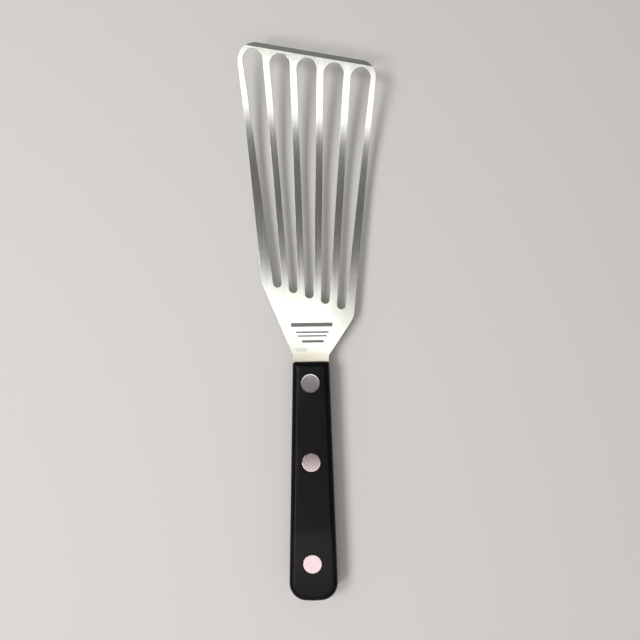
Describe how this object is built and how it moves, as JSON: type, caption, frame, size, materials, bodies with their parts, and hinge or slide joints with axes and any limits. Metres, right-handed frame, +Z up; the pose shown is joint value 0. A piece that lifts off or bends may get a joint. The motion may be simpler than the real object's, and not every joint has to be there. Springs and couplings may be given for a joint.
{
  "type": "slotted turner",
  "caption": "Slotted kitchen and grill turner: thin slanted blade with long tapered slots and an upturned front edge, on a full-tang handle with riveted black scales.",
  "frame": {"origin": "middle of the whole object's box in X and Y, on the surface that the handle lies on", "axes": "+Y from the handle towards the blade's tip, +X to the right seen from above, on the side where the blade is shorter, +Z up, away from the surface"},
  "size_m": [0.0748, 0.3038, 0.0203],
  "materials": {
    "blade_steel": "stainless sheet brushed along its length, with a duller ground strip along the front edge",
    "handle_scale": "black satin moulded plastic with eased edges and faint handling scratches",
    "rivet_metal": "flush ground rivet heads with a fine random grain"
  },
  "bodies": {
    "root": {"blade": "blade_steel", "top_scale": "handle_scale", "bottom_scale": "handle_scale", "front_rivet_post": "rivet_metal", "front_rivet_socket": "rivet_metal", "middle_rivet_post": "rivet_metal", "middle_rivet_socket": "rivet_metal", "rear_rivet_post": "rivet_metal", "rear_rivet_socket": "rivet_metal"}
  },
  "joints": []
}
